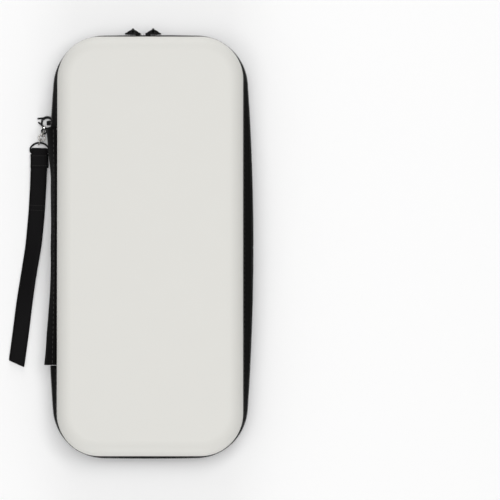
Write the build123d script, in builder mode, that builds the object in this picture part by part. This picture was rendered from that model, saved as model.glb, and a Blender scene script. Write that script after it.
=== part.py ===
from build123d import *
from math import cos, radians, sin, sqrt, tan
import os

# Moulded shells. X runs along the case, +Y is the hinge side, Z is up and the base rests on z = 0
shell_length = 257.0
shell_width = 114.4
corner_radius = 26.5
base_height = 27.0  # floor to the plane where the halves part
lid_height = 21.0  # parting plane to the top
draft = 4.0  # lean of the walls, degrees
edge_radius = 9.0
shell_wall = 3.2
lining_thickness = 1.0

# Padded roll round each rim
roll_width = 6.5
roll_height = 4.0
roll_round = 1.9
roll_gap = 0.6  # left between the two rolls when the case is shut

# Zip: tape sewn to the shells, bowing out to two rows of coil
tape_thickness = 0.8
tape_reach = 9.0  # parting plane to the seam on either shell
tape_seat = 0.1  # left behind the tape, in the step that it lies in
chain_setback = 0.2  # how far the chain lies inside the shell's outline at the corners
chain_corner = 31.5
front_bow = 5.8
rear_bow = 6.0
end_bow = 1.3
coil_width = 1.3
coil_height = 2.0
coil_gap = 1.0  # between the two rows

# Hinge spine, the fabric strip at the back
spine_length = 146.0
spine_reach = 10.0  # parting plane to either sewn edge
spine_bulge = 3.5
spine_thickness = 1.0
spine_end_gap = 0.3

# Sliders and pulls on the +X end
slider_length = 9.6
slider_height = 7.0
slider_plate = 0.7
slider_inner_plate = 0.5
slider_inner_height = 4.6
slider_clearance = 0.2  # either side of the post
slider_play = 0.45  # between the coil and either plate, since the chain bows
slider_post = 3.0
slider_round = 2.4
crown_span = 7.6
crown_width = 3.2
crown_chamfer = 0.5
bail_window = 2.2  # opening in the crown for the pull
bail_wire = 0.8
bail_rise = 1.2  # clear height under the bail
rear_slider_y = 11.0
front_slider_y = -1.5
pull_thickness = 1.4
pull_width = 5.0
pull_length = 21.0
pull_neck = 5.0  # eye to the top of the paddle
pull_taper = 2.8  # width where the paddle begins
pull_eye = 0.7  # radius of the eye
pull_eye_rim = 0.6

# Cradle in the base
rib_spacing = 160.0
rib_width = 6.4
rib_height = 6.0
rib_round = 1.4
ledge_start = 16.0  # front edge of the ledges
ledge_height = 2.5

# Net pocket in the lid
net_level = 6.4  # parting plane to the underside of the net
net_thickness = 0.8
net_columns = 14
net_rows = 8
net_post = 4.0  # left between two openings along the case
net_rung = 1.1  # and across it
hem_from_front = 27.2  # front wall to the middle of the hem
hem_width = 8.0
hem_thickness = 1.6
hem_slant = -1.7  # degrees off the long axis
edging_width = 4.0

# Flap that covers the console, with its card pockets
flap_width = 160.0
flap_root_gap = 0.5  # left behind the flap, to the roll
flap_front_gap = 5.9  # left before its free edge
flap_corner = 18.0
flap_lift = 0.6  # parting plane to the underside of the panel
flap_thickness = 2.4
binding_width = 9.0
binding_thickness = 3.0
root_tape_width = 150.0
root_tape_depth = 7.4
root_tape_thickness = 0.8
root_tape_gap = 0.1
pocket_count = 4
pocket_width = 31.0
pocket_bulge = 1.6
pocket_fabric = 0.6
pocket_slot = 0.2  # height of a pocket's space at its stitched sides
pocket_floor = 1.5  # sewn strip that closes each pocket
lower_band_offset = 11.0  # free edge of the flap to the band
lower_band_depth = 26.0
upper_band_offset = 54.0
upper_band_depth = 23.0

# Strap tab, clasp and chain, lying beside the case
tab_from_spine = 4.5
tab_width = 2.6
tab_web = 1.1
tab_loop_radius = 3.45
tab_loop_out = 4.8  # back wall to the middle of the loop
tab_tail_radius = 0.9
tab_tail_drop = 1.0  # below the seam of the zip tape
strap_level = 3.0  # height of the middle of the strap and clasp above the ground
hook_inner = 2.8
hook_outer = 4.3
hook_thickness = 2.0
hook_mouth_start = -20.0  # the part of the hook that the lever may close, degrees
hook_mouth_end = -150.0
horn_root = (3.9, -120.0)  # reach from the hook's middle and angle round it
horn_tip = (6.4, -94.0)
horn_half_width = 0.5
clasp_eye_reach = 5.4  # hook centre to the eye
clasp_eye_hole = 1.05
clasp_eye_outer = 1.9
lever_thickness = 0.8
lever_gap = 0.2
lever_pivot = -14.0  # degrees round the hook
lever_slot = 1.5  # radius of the slot for the lever's root
lever_root = 1.05
thumb_root = (3.5, -40.0)  # reach and angle, as for the horn
thumb_tip = (5.4, -72.0)
thumb_half_width = 0.5
lever_reach = 4.9  # pin to the hook's tip
pin_radius = 0.45
pin_clearance = 0.08
chain_angle = 158.0  # from +X, seen from above
link_radius = 1.9
link_wire = 0.42  # half the wire's thickness
link_chamfer = 0.2
link_pitch = 2.7
link_slack = 0.25
ring_wire = 1.1
ring_depth = 7.2
ring_side = 3.4  # straight sides before the bow
ring_round = 1.6
ring_inner_round = 0.6

# Wrist strap
strap_width = 9.8
strap_layer = 1.0
strap_clearance = 0.15
strap_lead = 34.0  # ring to the bend
strap_bend = 8.2  # degrees
strap_run = 99.5  # bend to the far end
strap_fold = 1.5  # roundness of the web where it folds back
collar_setback = 2.7  # ring to the collar
collar_length = 8.5
collar_wall = 0.8
collar_round = 1.2

parting = base_height
total_height = base_height + lid_height
base_rim = parting - roll_gap / 2 - roll_height
lid_rim = parting + roll_gap / 2 + roll_height
skin = shell_wall + lining_thickness
tray_floor = skin
coil_base = coil_gap / 2 + coil_height  # parting plane to the tape's edge of the coil
flap_root = shell_width / 2 - roll_width - flap_root_gap
flap_free = roll_width - shell_width / 2 + flap_front_gap
hem_centre = hem_from_front - shell_width / 2
tab_x = spine_length / 2 + tab_from_spine
tab_loop_y = shell_width / 2 + tab_loop_out
chain_end = shell_length / 2 - chain_setback + end_bow
slider_outer = chain_end + coil_width - tape_thickness + slider_play
slider_inner = chain_end - tape_thickness - slider_play
bail_foot = slider_outer + slider_plate
BELOW, ABOVE = -1, 1


def wall_inset(level):
    """How far the draft has drawn a shell's wall in at a height."""
    off_rim = max(base_rim - level, level - lid_rim)
    return off_rim * tan(radians(draft))


def step_outline():
    """Outline of the rims inside the zip tapes."""
    inset = wall_inset(parting + tape_reach) + tape_thickness + tape_seat
    with BuildSketch() as outline:
        RectangleRounded(shell_length - 2 * inset, shell_width - 2 * inset, corner_radius - inset)
    return outline.sketch


def moulded_half(inset, side, rounded=True):
    """Solid that the base or the lid fills, drawn in by an inset on every side."""
    rim = base_rim if side == BELOW else lid_rim
    depth = base_rim if side == BELOW else total_height - lid_rim
    with BuildPart() as half:
        with BuildSketch(Plane.XY.offset(rim)):
            RectangleRounded(shell_length - 2 * inset, shell_width - 2 * inset, corner_radius - inset)
        extrude(amount=side * (depth - inset), taper=draft)
        crown = half.faces().sort_by(Axis.Z)[0 if side == BELOW else -1]
        if rounded:
            fillet(crown.edges(), edge_radius - inset)
        else:
            chamfer(crown.edges(), (edge_radius - inset) * (2 - sqrt(2)))
    return half.part


def sewing_step(side):
    """Ring cut from a shell round its rim, so that the zip tape lies flush in it."""
    with BuildPart() as step:
        with BuildSketch(Plane.XY.offset(base_rim if side == BELOW else lid_rim)):
            RectangleRounded(shell_length, shell_width, corner_radius)
            add(step_outline(), mode=Mode.SUBTRACT)
        extrude(amount=side * (tape_reach - roll_gap / 2 - roll_height))
    return step.part


def rim_roll(side):
    """Padded roll that caps a shell and its lining."""
    with BuildPart() as roll:
        with BuildSketch(Plane.XY.offset(base_rim if side == BELOW else lid_rim)):
            add(step_outline())
            RectangleRounded(
                shell_length - 2 * roll_width,
                shell_width - 2 * roll_width,
                corner_radius - roll_width,
                mode=Mode.SUBTRACT,
            )
        extrude(amount=-side * roll_height)
        crest = roll.faces().sort_by(Axis.Z)[-1 if side == BELOW else 0]
        chamfer(crest.edges(), roll_round)
    return roll.part


def chain_outline(grow):
    """Face inside the zip chain's outline, which bows out between the corners."""
    across = shell_length / 2 - chain_setback + grow
    deep = shell_width / 2 - chain_setback + grow
    with BuildSketch() as outline:
        with BuildLine():
            ThreePointArc((-across, -deep), (0, -deep - front_bow), (across, -deep))
            ThreePointArc((across, -deep), (across + end_bow, 0), (across, deep))
            ThreePointArc((across, deep), (0, deep + rear_bow), (-across, deep))
            ThreePointArc((-across, deep), (-across - end_bow, 0), (-across, -deep))
        make_face()
        fillet(outline.vertices(), chain_corner + grow)
    return outline.sketch


def tape_filling(side, grow):
    """Solid under one tape's face, from the seam on the shell to the coil."""
    seam = parting + side * tape_reach
    inset = wall_inset(seam) - grow
    with BuildPart() as filling:
        with BuildSketch(Plane.XY.offset(seam)):
            RectangleRounded(shell_length - 2 * inset, shell_width - 2 * inset, corner_radius - inset)
        with BuildSketch(Plane.XY.offset(parting + side * coil_base)):
            add(chain_outline(grow))
        loft(ruled=True)
    return filling.part


def spine_gap():
    """Block that keeps the zip off the hinge spine."""
    with BuildPart() as block:
        with BuildSketch(Plane((0, shell_width / 2, parting - tape_reach - tape_thickness))):
            Rectangle(spine_length, edge_radius * 2)
        extrude(amount=2 * (tape_reach + tape_thickness))
    return block.part


def zip_tape(side):
    """Woven tape of one half."""
    with BuildPart() as tape:
        add(tape_filling(side, 0))
        add(tape_filling(side, -tape_thickness), mode=Mode.SUBTRACT)
        add(spine_gap(), mode=Mode.SUBTRACT)
    return tape.part


def zip_coil(side):
    """Row of coil along the edge of one tape."""
    with BuildPart() as coil:
        with BuildSketch(Plane.XY.offset(parting + side * coil_gap / 2)):
            add(chain_outline(coil_width - tape_thickness))
            add(chain_outline(-tape_thickness), mode=Mode.SUBTRACT)
        extrude(amount=side * coil_height)
        add(spine_gap(), mode=Mode.SUBTRACT)
    return coil.part


def crown_profile():
    """Domed outline of a slider's crown, seen along the gap in the zip."""
    top = bail_rise + bail_wire
    with BuildSketch() as profile:
        with BuildLine():
            Line((0, -crown_span / 2), (0, crown_span / 2))
            ThreePointArc((0, crown_span / 2), (top, 0), (0, -crown_span / 2))
        make_face()
    return profile.sketch


def zip_slider(y, post_side):
    """Cast slider: two plates, the post between the rows and a domed crown with a bail in it."""
    post_y = y + post_side * (slider_length - slider_post) / 2
    with BuildPart() as body:
        with BuildSketch(Plane((slider_outer, y, parting), x_dir=(0, 1, 0), z_dir=(1, 0, 0))):
            RectangleRounded(slider_length, slider_height, slider_round)
        extrude(amount=slider_plate)
        with BuildSketch(Plane((slider_inner, y, parting), x_dir=(0, 1, 0), z_dir=(-1, 0, 0))):
            Rectangle(slider_length, slider_inner_height)
        extrude(amount=slider_inner_plate)
        with BuildSketch(Plane((slider_inner, post_y, parting), x_dir=(0, 1, 0), z_dir=(1, 0, 0))):
            Rectangle(slider_post, coil_gap - 2 * slider_clearance)
        extrude(amount=slider_outer - slider_inner)
    with BuildPart() as crown:
        with BuildSketch(Plane((bail_foot, y, parting))):
            add(crown_profile())
        extrude(amount=crown_width / 2, both=True)
        chamfer(crown.faces().filter_by(Plane.XY).edges().filter_by(GeomType.CIRCLE), crown_chamfer)
        with BuildSketch(Plane((bail_foot, y, parting))):
            Rectangle(2 * crown_span, bail_window)
        extrude(amount=crown_width, both=True, mode=Mode.SUBTRACT)
        with BuildSketch(Plane((bail_foot, y, parting))):
            add(crown_profile())
            Rectangle(2 * bail_rise, crown_span, mode=Mode.SUBTRACT)
        extrude(amount=bail_wire / 2, both=True)
    with BuildPart() as slider:
        add(body.part)
        add(crown.part)
    return slider.part


def zip_pull(y):
    """Pull on a slider's bail: an eye, then a paddle that hangs flat along the end of the case."""
    eye_x = bail_foot + bail_rise + bail_wire / 2
    with BuildPart() as pull:
        with BuildSketch(Plane((eye_x, y, parting), x_dir=(1, 0, 0), z_dir=(0, -1, 0))):
            Circle(pull_eye + pull_eye_rim)
            with Locations((0, -pull_neck / 2)):
                Rectangle(pull_thickness, pull_neck)
            Circle(pull_eye, mode=Mode.SUBTRACT)
        extrude(amount=pull_thickness / 2, both=True)
        with BuildSketch(Plane((eye_x, y, parting), x_dir=(0, 1, 0), z_dir=(1, 0, 0))):
            with Locations((0, pull_taper / 2 - pull_neck)):
                Circle(pull_taper / 2)
            with Locations((0, pull_width / 2 - pull_length)):
                Circle(pull_width / 2)
            make_hull()
        extrude(amount=pull_thickness / 2, both=True)
    return pull.part


def cradle_pad(x_from, x_to, y_from, y_to, height):
    """Foam pad on the floor of the base, shaped to the walls that it meets."""
    with BuildPart() as pad:
        with BuildSketch(Plane(((x_from + x_to) / 2, (y_from + y_to) / 2, tray_floor))):
            Rectangle(x_to - x_from, y_to - y_from)
        extrude(amount=height)
        add(moulded_half(skin, BELOW), mode=Mode.INTERSECT)
    return pad.part


def lid_slice(inset, level, thickness):
    """Level slice of the space inside the lid."""
    with BuildPart() as layer:
        with BuildSketch(Plane.XY.offset(level)):
            Rectangle(shell_length, shell_width)
        extrude(amount=thickness)
        add(moulded_half(inset, ABOVE), mode=Mode.INTERSECT)
    return layer.part


def beside_hem(from_edge, depth, level, thickness):
    """Slab parallel to the pocket's slanted hem."""
    lean = radians(hem_slant)
    middle = from_edge + depth / 2
    origin = (-middle * sin(lean), hem_centre + middle * cos(lean), level)
    with BuildPart() as slab:
        with BuildSketch(Plane(origin, x_dir=(cos(lean), sin(lean), 0))):
            Rectangle(shell_length, depth)
        extrude(amount=thickness)
    return slab.part


def flap_face(inset):
    """Outline of the flap, drawn in from its three free edges."""
    free = flap_free + inset
    side = flap_width / 2 - inset
    with BuildSketch() as face:
        with BuildLine():
            Polyline((-side, free), (side, free), (side, flap_root), (-side, flap_root), close=True)
        make_face()
        fillet(face.vertices().group_by(Axis.Y)[0], flap_corner - inset)
    return face.sketch


def arch(half, foot, bulge):
    """Cross-section of one card pocket: flat below and bulging above."""
    with BuildSketch() as section:
        with BuildLine():
            Polyline((half, foot), (half, 0), (-half, 0), (-half, foot))
            ThreePointArc((-half, foot), (0, foot + bulge), (half, foot))
        make_face()
    return section.sketch


def card_band(start, depth):
    """Elastic band sewn down into a row of card pockets."""
    top = parting + flap_lift + flap_thickness
    half = pocket_width / 2
    with BuildPart() as band:
        with BuildSketch(Plane((0, start, top), x_dir=(1, 0, 0), z_dir=(0, -1, 0))):
            with GridLocations(pocket_width, 0, pocket_count, 1):
                add(arch(half, pocket_fabric, pocket_bulge))
        extrude(amount=-depth)
        with BuildSketch(Plane((0, start + pocket_floor, top), x_dir=(1, 0, 0), z_dir=(0, -1, 0))):
            with GridLocations(pocket_width, 0, pocket_count, 1):
                add(arch(half - pocket_fabric, pocket_slot, pocket_bulge - pocket_slot))
        extrude(amount=-depth, mode=Mode.SUBTRACT)
    return band.part


def net_hole(width, depth):
    """One diamond of the net."""
    with BuildSketch() as hole:
        with BuildLine():
            Polyline((width / 2, 0), (0, depth / 2), (-width / 2, 0), (0, -depth / 2), close=True)
        make_face()
    return hole.sketch


def along_chain(distance):
    """Point on the chain's line, measured from the middle of the hook."""
    turn = radians(chain_angle)
    return (tab_x + distance * cos(turn), hook_y + distance * sin(turn), strap_level)


def chain_plane(distance):
    """Level plane at a point of the chain, with its X axis toward the strap."""
    turn = radians(chain_angle)
    return Plane(along_chain(distance), x_dir=(cos(turn), sin(turn), 0))


def hook_mouth(start, reach):
    """Part of the hook's plane that the lever sweeps, from an angle and out to a reach from its pin."""
    far = 4 * hook_outer
    with BuildSketch() as mouth:
        with BuildLine():
            Polyline((0, 0), round_hook(far, start), round_hook(far, hook_mouth_end), close=True)
        make_face()
        with Locations(pivot):
            Circle(reach, mode=Mode.INTERSECT)
    return mouth.sketch


def round_hook(reach, angle):
    """Point in the hook's plane, at a reach from its middle."""
    return (reach * cos(radians(angle)), reach * sin(radians(angle)))


def finger(root, tip, half_width):
    """Slender round-ended prong between two points given by reach and angle."""
    with BuildSketch() as prong:
        with Locations(round_hook(*root), round_hook(*tip)):
            Circle(half_width)
        make_hull()
    return prong.sketch


def link(distance, upright):
    """Ring of the chain, lying flat or standing on edge."""
    turn = radians(chain_angle)
    axis = (-sin(turn), cos(turn), 0) if upright else (0, 0, 1)
    with BuildPart() as ring:
        with BuildSketch(Plane(along_chain(distance), x_dir=(cos(turn), sin(turn), 0), z_dir=axis)):
            Circle(link_radius + link_wire)
            Circle(link_radius - link_wire, mode=Mode.SUBTRACT)
        extrude(amount=link_wire, both=True)
        chamfer(ring.edges().filter_by(GeomType.CIRCLE), link_chamfer)
    return ring.part


def ring_face(inset, corner):
    """D-shaped outline of the strap's ring, drawn in by an inset."""
    half = strap_width / 2 + strap_clearance + ring_wire - inset
    with BuildSketch() as face:
        with BuildLine():
            Polyline((ring_side, -half), (inset, -half), (inset, half), (ring_side, half))
            ThreePointArc((ring_side, half), (ring_depth - inset, 0), (ring_side, -half))
        make_face()
        fillet(face.vertices(), corner)
    return face.sketch


def strap_block(width, trim, half_height):
    """Solid along the strap's bent run, trimmed at both ends."""
    lean = radians(180 - strap_bend)
    run = strap_run - trim
    first = strap_start - trim - strap_bend_x
    with BuildPart() as block:
        with BuildSketch(Plane((strap_bend_x + first / 2, strap_y, strap_level))):
            Rectangle(first, width)
        with BuildSketch(Plane((strap_bend_x, strap_y, strap_level))):
            Circle(width / 2)
        middle = (strap_bend_x + run / 2 * cos(lean), strap_y + run / 2 * sin(lean), strap_level)
        with BuildSketch(Plane(middle, x_dir=(cos(lean), sin(lean), 0))):
            Rectangle(run, width)
        extrude(amount=half_height, both=True)
    return block.part


# Places that several pieces of the strap share
hook_y = tab_loop_y + tab_loop_radius - tab_web / 2
first_link = clasp_eye_reach + link_radius - link_slack
ring_apex = first_link + 2 * link_pitch + link_radius - link_wire - ring_wire / 2 - link_slack
strap_y = along_chain(ring_apex)[1]
ring_front = along_chain(ring_apex)[0] + ring_wire / 2
ring_back = ring_front - ring_depth
strap_start = ring_back + ring_wire + strap_clearance + strap_layer
strap_bend_x = strap_start - strap_lead
strap_half_height = ring_wire / 2 + strap_clearance + strap_layer

# Base
with BuildPart() as base_shell:
    add(moulded_half(0, BELOW))
    add(moulded_half(shell_wall, BELOW, rounded=False), mode=Mode.SUBTRACT)
    add(sewing_step(BELOW), mode=Mode.SUBTRACT)

with BuildPart() as base_lining:
    add(moulded_half(shell_wall, BELOW, rounded=False))
    add(moulded_half(skin, BELOW), mode=Mode.SUBTRACT)

with BuildPart() as base_rim_roll:
    add(rim_roll(BELOW))

with BuildPart() as base_zip_tape:
    add(zip_tape(BELOW))

with BuildPart() as base_zip_coil:
    add(zip_coil(BELOW))

rib_outside = (rib_spacing + rib_width) / 2
with BuildPart() as cradle_rib_right:
    add(cradle_pad(rib_outside - rib_width, rib_outside, -shell_width / 2, shell_width / 2, rib_height))
    fillet(cradle_rib_right.faces().sort_by(Axis.Z)[-1].edges().filter_by(Axis.Y), rib_round)

with BuildPart() as cradle_rib_left:
    mirror(cradle_rib_right.part, about=Plane.YZ)

with BuildPart() as cradle_ledge_right:
    add(cradle_pad(rib_outside, shell_length / 2, ledge_start, shell_width / 2, ledge_height))

with BuildPart() as cradle_ledge_left:
    mirror(cradle_ledge_right.part, about=Plane.YZ)

# Hinge spine, sewn to both shells and bulging out between them
with BuildPart() as hinge_spine:
    spine_foot = shell_width / 2 - wall_inset(parting - spine_reach)
    spine_half = spine_length / 2 - spine_end_gap
    with BuildSketch(Plane((-spine_half, spine_foot, parting), x_dir=(0, 1, 0), z_dir=(1, 0, 0))):
        with BuildLine():
            ThreePointArc((0, -spine_reach), (spine_bulge, 0), (0, spine_reach))
            Line((0, spine_reach), (spine_thickness, spine_reach))
            ThreePointArc(
                (spine_thickness, spine_reach),
                (spine_bulge + spine_thickness, 0),
                (spine_thickness, -spine_reach),
            )
            Line((spine_thickness, -spine_reach), (0, -spine_reach))
        make_face()
    extrude(amount=2 * spine_half)

# Lid
with BuildPart() as lid_shell:
    add(moulded_half(0, ABOVE))
    add(moulded_half(shell_wall, ABOVE, rounded=False), mode=Mode.SUBTRACT)
    add(sewing_step(ABOVE), mode=Mode.SUBTRACT)

with BuildPart() as lid_lining:
    add(moulded_half(shell_wall, ABOVE, rounded=False))
    add(moulded_half(skin, ABOVE), mode=Mode.SUBTRACT)

with BuildPart() as lid_rim_roll:
    add(rim_roll(ABOVE))

with BuildPart() as lid_zip_tape:
    add(zip_tape(ABOVE))

with BuildPart() as lid_zip_coil:
    add(zip_coil(ABOVE))

net_bottom = parting + net_level
hem_bottom = net_bottom + (net_thickness - hem_thickness) / 2
with BuildPart() as pocket_edging:
    add(lid_slice(skin, hem_bottom, hem_thickness))
    add(lid_slice(skin + edging_width, hem_bottom, hem_thickness), mode=Mode.SUBTRACT)
    add(beside_hem(hem_width / 2, shell_width, hem_bottom, hem_thickness), mode=Mode.INTERSECT)

with BuildPart() as pocket_hem:
    add(lid_slice(skin, hem_bottom, hem_thickness))
    add(beside_hem(-hem_width / 2, hem_width, hem_bottom, hem_thickness), mode=Mode.INTERSECT)

with BuildPart() as pocket_net:
    add(lid_slice(skin + edging_width, net_bottom, net_thickness))
    add(beside_hem(hem_width / 2, shell_width, net_bottom, net_thickness), mode=Mode.INTERSECT)
    net_rear = shell_width / 2 - skin - edging_width
    net_depth = net_rear - hem_centre - hem_width / 2
    net_span = shell_length - 2 * (skin + edging_width)
    net_middle = (0, net_rear - net_depth / 2, net_bottom)
    column_pitch = net_span / (net_columns + 2)
    row_pitch = net_depth / (net_rows + 2)
    with BuildSketch(Plane(net_middle)):
        with GridLocations(column_pitch, row_pitch, net_columns, net_rows):
            add(net_hole(column_pitch - net_post, row_pitch - net_rung))
    extrude(amount=net_thickness, mode=Mode.SUBTRACT)

# Flap
flap_bottom = parting + flap_lift
binding_bottom = flap_bottom + (flap_thickness - binding_thickness) / 2
with BuildPart() as flap_panel:
    with BuildSketch(Plane.XY.offset(flap_bottom)):
        add(flap_face(binding_width))
    extrude(amount=flap_thickness)

with BuildPart() as flap_binding:
    with BuildSketch(Plane.XY.offset(binding_bottom)):
        add(flap_face(0))
        add(flap_face(binding_width), mode=Mode.SUBTRACT)
    extrude(amount=binding_thickness)

with BuildPart() as flap_root_tape:
    tape_y = shell_width / 2 - roll_width - root_tape_gap - root_tape_thickness / 2
    with BuildSketch(Plane((0, tape_y, binding_bottom - root_tape_gap))):
        Rectangle(root_tape_width, root_tape_thickness)
    extrude(amount=-root_tape_depth)

with BuildPart() as lower_card_band:
    add(card_band(flap_free + lower_band_offset, lower_band_depth))

with BuildPart() as upper_card_band:
    add(card_band(flap_free + upper_band_offset, upper_band_depth))

# Sliders and pulls
with BuildPart() as rear_slider:
    add(zip_slider(rear_slider_y, -1))

with BuildPart() as rear_pull:
    add(zip_pull(rear_slider_y))

with BuildPart() as front_slider:
    add(zip_slider(front_slider_y, 1))

with BuildPart() as front_pull:
    add(zip_pull(front_slider_y))

# Strap tab: a web folded into a loop and sewn to the back wall under the zip
with BuildPart() as strap_tab:
    tail_level = parting - tape_reach - tab_tail_drop
    tail_y = shell_width / 2 - wall_inset(tail_level) + tab_tail_radius
    loop_level = tab_loop_radius + link_slack
    with BuildSketch(Plane((tab_x - tab_width / 2, 0, 0), x_dir=(0, 1, 0), z_dir=(1, 0, 0))):
        with Locations((tab_loop_y, loop_level)):
            Circle(tab_loop_radius)
        with Locations((tail_y, tail_level)):
            Circle(tab_tail_radius)
        make_hull()
        with Locations((tab_loop_y, loop_level)):
            Circle(tab_loop_radius - tab_web, mode=Mode.SUBTRACT)
    extrude(amount=tab_width)

# Clasp: hook, sprung lever and its pin
pivot_radius = (hook_inner + hook_outer) / 2
pivot = round_hook(pivot_radius, lever_pivot)
with BuildPart() as clasp_body:
    with BuildSketch(chain_plane(0)):
        Circle(hook_outer)
        with Locations((clasp_eye_reach, 0)):
            Circle(clasp_eye_outer)
        make_hull()
        Circle(hook_inner, mode=Mode.SUBTRACT)
        with Locations((clasp_eye_reach, 0)):
            Circle(clasp_eye_hole, mode=Mode.SUBTRACT)
        add(hook_mouth(hook_mouth_start, lever_reach), mode=Mode.SUBTRACT)
        add(finger(horn_root, horn_tip, horn_half_width))
    extrude(amount=hook_thickness / 2, both=True)
    with BuildSketch(chain_plane(0)):
        with Locations(pivot):
            Circle(lever_slot)
    extrude(amount=lever_thickness / 2 + lever_gap, both=True, mode=Mode.SUBTRACT)
    with BuildSketch(chain_plane(0)):
        with Locations(pivot):
            Circle(pin_radius)
    extrude(amount=hook_thickness / 2, both=True, mode=Mode.SUBTRACT)

with BuildPart() as clasp_pin:
    with BuildSketch(chain_plane(0)):
        with Locations(pivot):
            Circle(pin_radius)
    extrude(amount=hook_thickness / 2, both=True)

with BuildPart() as clasp_lever:
    with BuildSketch(chain_plane(0)):
        Circle(hook_outer - lever_gap)
        Circle(hook_inner + lever_gap, mode=Mode.SUBTRACT)
        add(hook_mouth(lever_pivot, lever_reach - lever_gap), mode=Mode.INTERSECT)
        with Locations(pivot):
            Circle(lever_root)
        add(finger(thumb_root, thumb_tip, thumb_half_width))
        with Locations(pivot):
            Circle(pin_radius + pin_clearance, mode=Mode.SUBTRACT)
    extrude(amount=lever_thickness / 2, both=True)

with BuildPart() as chain_links:
    add(link(first_link, True))
    add(link(first_link + link_pitch, False))
    add(link(first_link + 2 * link_pitch, True))

# Wrist strap on its ring
with BuildPart() as strap_ring:
    with BuildSketch(Plane((ring_back, strap_y, strap_level))):
        add(ring_face(0, ring_round))
        add(ring_face(ring_wire, ring_inner_round), mode=Mode.SUBTRACT)
    extrude(amount=ring_wire / 2, both=True)

with BuildPart() as wrist_strap:
    add(strap_block(strap_width, 0, strap_half_height))
    for fold in (wrist_strap.faces().sort_by(Axis.X)[0], wrist_strap.faces().sort_by(Axis.X)[-1]):
        fillet(fold.edges().filter_by(Axis.Z, reverse=True), strap_fold)
    add(
        strap_block(2 * strap_width, strap_layer, strap_half_height - strap_layer),
        mode=Mode.SUBTRACT,
    )

with BuildPart() as strap_collar:
    collar_x = strap_start - collar_setback - collar_length
    sleeve_width = strap_width + 2 * strap_clearance
    sleeve_height = 2 * (strap_half_height + strap_clearance)
    with BuildSketch(Plane((collar_x, strap_y, strap_level), x_dir=(0, 1, 0), z_dir=(1, 0, 0))):
        RectangleRounded(sleeve_width + 2 * collar_wall, sleeve_height + 2 * collar_wall, collar_round)
        Rectangle(sleeve_width, sleeve_height, mode=Mode.SUBTRACT)
    extrude(amount=collar_length)

pieces = {
    "base_shell": base_shell,
    "base_lining": base_lining,
    "base_rim_roll": base_rim_roll,
    "base_zip_tape": base_zip_tape,
    "base_zip_coil": base_zip_coil,
    "cradle_rib_right": cradle_rib_right,
    "cradle_rib_left": cradle_rib_left,
    "cradle_ledge_right": cradle_ledge_right,
    "cradle_ledge_left": cradle_ledge_left,
    "hinge_spine": hinge_spine,
    "strap_tab": strap_tab,
    "lid_shell": lid_shell,
    "lid_lining": lid_lining,
    "lid_rim_roll": lid_rim_roll,
    "lid_zip_tape": lid_zip_tape,
    "lid_zip_coil": lid_zip_coil,
    "pocket_edging": pocket_edging,
    "pocket_hem": pocket_hem,
    "pocket_net": pocket_net,
    "flap_panel": flap_panel,
    "flap_binding": flap_binding,
    "flap_root_tape": flap_root_tape,
    "lower_card_band": lower_card_band,
    "upper_card_band": upper_card_band,
    "rear_slider": rear_slider,
    "rear_pull": rear_pull,
    "front_slider": front_slider,
    "front_pull": front_pull,
    "clasp_body": clasp_body,
    "clasp_pin": clasp_pin,
    "clasp_lever": clasp_lever,
    "chain_links": chain_links,
    "strap_ring": strap_ring,
    "strap_collar": strap_collar,
    "wrist_strap": wrist_strap,
}
os.makedirs("parts", exist_ok=True)
for name, piece in pieces.items():
    piece.part.label = name
    export_step(piece.part, f"parts/{name}.step")
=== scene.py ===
"""Looks of a zipped hard-shell case for a hand-held game console, with its wrist strap."""

import logging
import math
from collections.abc import Callable
from dataclasses import dataclass
from enum import Enum
from typing import Self

import bmesh
import bpy
import numpy as np
from mathutils import Matrix, Vector, geometry, noise
from mathutils.bvhtree import BVHTree


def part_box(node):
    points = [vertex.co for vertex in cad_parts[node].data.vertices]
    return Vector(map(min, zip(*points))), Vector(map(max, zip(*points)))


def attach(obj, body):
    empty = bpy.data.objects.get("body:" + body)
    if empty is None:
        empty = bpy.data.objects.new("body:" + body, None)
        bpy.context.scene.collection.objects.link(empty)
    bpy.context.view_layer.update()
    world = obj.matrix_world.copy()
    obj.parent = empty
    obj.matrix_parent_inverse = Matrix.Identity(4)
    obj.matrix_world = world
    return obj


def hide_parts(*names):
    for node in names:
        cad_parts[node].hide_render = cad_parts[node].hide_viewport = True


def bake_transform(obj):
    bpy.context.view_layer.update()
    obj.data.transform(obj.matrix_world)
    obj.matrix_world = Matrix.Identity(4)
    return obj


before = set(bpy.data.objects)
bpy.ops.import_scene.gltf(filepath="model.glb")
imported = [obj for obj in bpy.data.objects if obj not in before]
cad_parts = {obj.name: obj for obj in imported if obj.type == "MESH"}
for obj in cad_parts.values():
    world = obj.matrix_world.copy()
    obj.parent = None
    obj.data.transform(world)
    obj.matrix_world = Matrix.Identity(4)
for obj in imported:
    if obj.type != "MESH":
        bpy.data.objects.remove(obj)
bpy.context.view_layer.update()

LOG = logging.getLogger("case")
MM = 0.001
PARTING = 27 * MM  # level where lid and base meet
UP = np.array((0.0, 0.0, 1.0))
CLOUDS = 90.0  # noise cells to the metre: uneven patches about 11 mm across
WEAR = 0.07  # how far those patches move the roughness either way
RELIEF = 0.8  # strength of the bump
SHEEN_ROUGHNESS = 0.4
ARC = 19  # points in a rounded corner
CREASE = math.radians(55)  # edges sharper than this stay sharp


class Pattern(Enum):
    """Relief that a material shows up close."""

    GRAIN = "fine moulded grain"
    WEAVE = "over-and-under weave"
    TWILL = "diagonal weave"
    KNIT = "short pile"
    RIB = "ribs across the length"
    CAST = "cast skin"


class Half(Enum):
    """Which half of the case a piece belongs to."""

    BASE = -1
    LID = 1

    @property
    def body(self) -> str:
        """Name of the body that carries this half."""
        return self.name.lower()


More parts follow.
